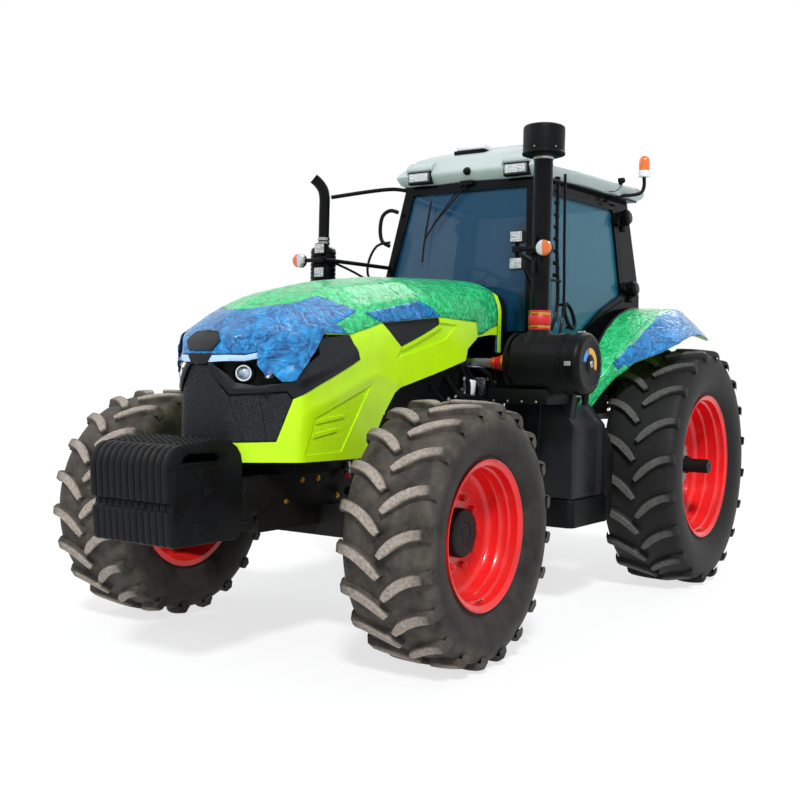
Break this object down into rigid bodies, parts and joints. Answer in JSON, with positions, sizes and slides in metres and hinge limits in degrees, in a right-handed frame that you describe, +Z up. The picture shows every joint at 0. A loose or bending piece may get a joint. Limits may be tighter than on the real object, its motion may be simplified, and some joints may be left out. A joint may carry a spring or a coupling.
{
  "type": "farm tractor",
  "caption": "Four-wheel-drive farm tractor with lugged tyres, front ballast, glazed cab, upright intake and exhaust, tilting hood and rear three-point linkage.",
  "frame": {"origin": "on the ground under the middle of the overall length and width", "axes": "+X forward to the ballast weights, +Y to the tractor's left, +Z up"},
  "size_m": [5.83, 2.926, 3.35],
  "materials": {
    "tyre_rubber": "matte",
    "rim_red": "gloss",
    "black_metal": "satin",
    "hub_grey": "satin",
    "lime": "gloss",
    "black_plastic": "matte",
    "mesh_black": "matte",
    "roof_grey": "gloss",
    "tinted_glass": "clear",
    "green_film": "gloss",
    "red_silicone": "satin",
    "chrome_steel": "polished",
    "amber": "gloss",
    "cast_dark": "satin",
    "seat_cloth": "matte",
    "steel": "brushed"
  },
  "bodies": {
    "chassis": {"front_axle": "cast_dark", "front_frame": "cast_dark", "transmission": "cast_dark", "engine": "cast_dark", "cooler": "black_metal", "cowl": "lime", "cab_roof": "roof_grey", "weight_carrier": "cast_dark", "front_weights": "cast_dark", "mounting_brackets": "black_metal", "cab_frame": "black_metal", "cab_glass": "tinted_glass", "axle_housings": "cast_dark", "fender_left": "green_film", "fender_right": "green_film", "tank_left": "black_plastic", "tank_right": "black_plastic", "air_cleaner": "black_plastic", "cleaner_bracket": "black_metal", "intake_stack": "black_metal", "stack_coupling": "red_silicone", "intake_pipe": "chrome_steel", "exhaust": "black_metal", "lamp_bracket_left": "black_metal", "lamp_bracket_right": "black_metal", "beacon": "amber", "roof_lamps": "roof_grey", "seat": "seat_cloth", "console": "black_plastic", "steps": "black_metal", "top_link": "black_metal", "drawbar": "black_metal"},
    "hood_lid": {"hood": "lime", "headlight_surround": "black_plastic", "grille": "mesh_black"},
    "door_left_leaf": {"door_left": "black_metal", "door_glass_left": "tinted_glass"},
    "door_right_leaf": {"door_right": "black_metal", "door_glass_right": "tinted_glass"},
    "steer_left": {"knuckle_left": "cast_dark"},
    "steer_right": {"knuckle_right": "cast_dark"},
    "front_wheel_left": {"front_tyre_left": "tyre_rubber", "front_rim_left": "rim_red", "front_hub_left": "black_metal"},
    "front_wheel_right": {"front_tyre_right": "tyre_rubber", "front_rim_right": "rim_red", "front_hub_right": "black_metal"},
    "rear_wheel_left": {"rear_tyre_left": "tyre_rubber", "rear_rim_left": "rim_red", "rear_hub_left": "hub_grey"},
    "rear_wheel_right": {"rear_tyre_right": "tyre_rubber", "rear_rim_right": "rim_red", "rear_hub_right": "hub_grey"},
    "lift": {"lift_arms": "black_metal"},
    "rod_left": {"lift_rod_left": "black_metal"},
    "rod_right": {"lift_rod_right": "black_metal"},
    "link_left": {"lower_link_left": "black_metal"},
    "link_right": {"lower_link_right": "black_metal"},
    "pto": {"pto_shaft": "steel"}
  },
  "joints": [
    {"name": "steer_left_kingpin", "type": "hinge", "parent": "chassis", "child": "steer_left", "pos_m": [1.585, 0.8, 0.7199], "axis": [0, 0, 1], "range_deg": [-32, 32]},
    {"name": "steer_right_kingpin", "type": "hinge", "parent": "chassis", "child": "steer_right", "pos_m": [1.585, -0.8, 0.7199], "axis": [0, 0, 1], "range_deg": [-32, 32]},
    {"name": "front_wheel_left_spin", "type": "hinge", "parent": "steer_left", "child": "front_wheel_left", "pos_m": [1.585, 1.086, 0.7199], "axis": [0, 1, 0], "continuous": true},
    {"name": "front_wheel_right_spin", "type": "hinge", "parent": "steer_right", "child": "front_wheel_right", "pos_m": [1.585, -1.086, 0.7199], "axis": [0, 1, 0], "continuous": true},
    {"name": "rear_wheel_left_spin", "type": "hinge", "parent": "chassis", "child": "rear_wheel_left", "pos_m": [-1.715, 1.1755, 0.91472], "axis": [0, 1, 0], "continuous": true},
    {"name": "rear_wheel_right_spin", "type": "hinge", "parent": "chassis", "child": "rear_wheel_right", "pos_m": [-1.715, -1.1755, 0.91472], "axis": [0, 1, 0], "continuous": true},
    {"name": "hood_hinge", "type": "hinge", "parent": "chassis", "child": "hood_lid", "pos_m": [-0.033, 0, 2.212], "axis": [0, -1, 0], "range_deg": [0, 50]},
    {"name": "door_left_hinge", "type": "hinge", "parent": "chassis", "child": "door_left_leaf", "pos_m": [-1.479, 0.80568, 2.25], "axis": [0, -0.1288, 0.9917], "range_deg": [0, 78]},
    {"name": "door_right_hinge", "type": "hinge", "parent": "chassis", "child": "door_right_leaf", "pos_m": [-1.479, -0.80568, 2.25], "axis": [0, -0.1288, -0.9917], "range_deg": [0, 78]},
    {"name": "lift_arms_hinge", "type": "hinge", "parent": "chassis", "child": "lift", "pos_m": [-1.895, 0, 1.27], "axis": [0, 1, 0], "range_deg": [-15, 40]},
    {"name": "lower_link_left_hinge", "type": "hinge", "parent": "chassis", "child": "link_left", "pos_m": [-1.775, 0.33, 0.6], "axis": [0, 1, 0], "range_deg": [-9, 23.6]},
    {"name": "lower_link_right_hinge", "type": "hinge", "parent": "chassis", "child": "link_right", "pos_m": [-1.775, -0.33, 0.6], "axis": [0, 1, 0], "range_deg": [-9, 23.6]},
    {"name": "lift_rod_left_hinge", "type": "hinge", "parent": "lift", "child": "rod_left", "pos_m": [-2.215, 0.432, 1.27], "axis": [0, 1, 0], "range_deg": [-38, 15]},
    {"name": "lift_rod_right_hinge", "type": "hinge", "parent": "lift", "child": "rod_right", "pos_m": [-2.215, -0.432, 1.27], "axis": [0, 1, 0], "range_deg": [-38, 15]},
    {"name": "pto_spin", "type": "hinge", "parent": "chassis", "child": "pto", "pos_m": [-2.075, 0, 0.76], "axis": [1, 0, 0], "continuous": true}
  ],
  "couplings": [
    {"joint": "steer_right_kingpin", "follows": "steer_left_kingpin", "ratio": 1},
    {"joint": "lower_link_left_hinge", "follows": "lift_arms_hinge", "ratio": 0.583},
    {"joint": "lower_link_right_hinge", "follows": "lift_arms_hinge", "ratio": 0.583},
    {"joint": "lift_rod_left_hinge", "follows": "lift_arms_hinge", "ratio": -0.943},
    {"joint": "lift_rod_right_hinge", "follows": "lift_arms_hinge", "ratio": -0.943}
  ]
}
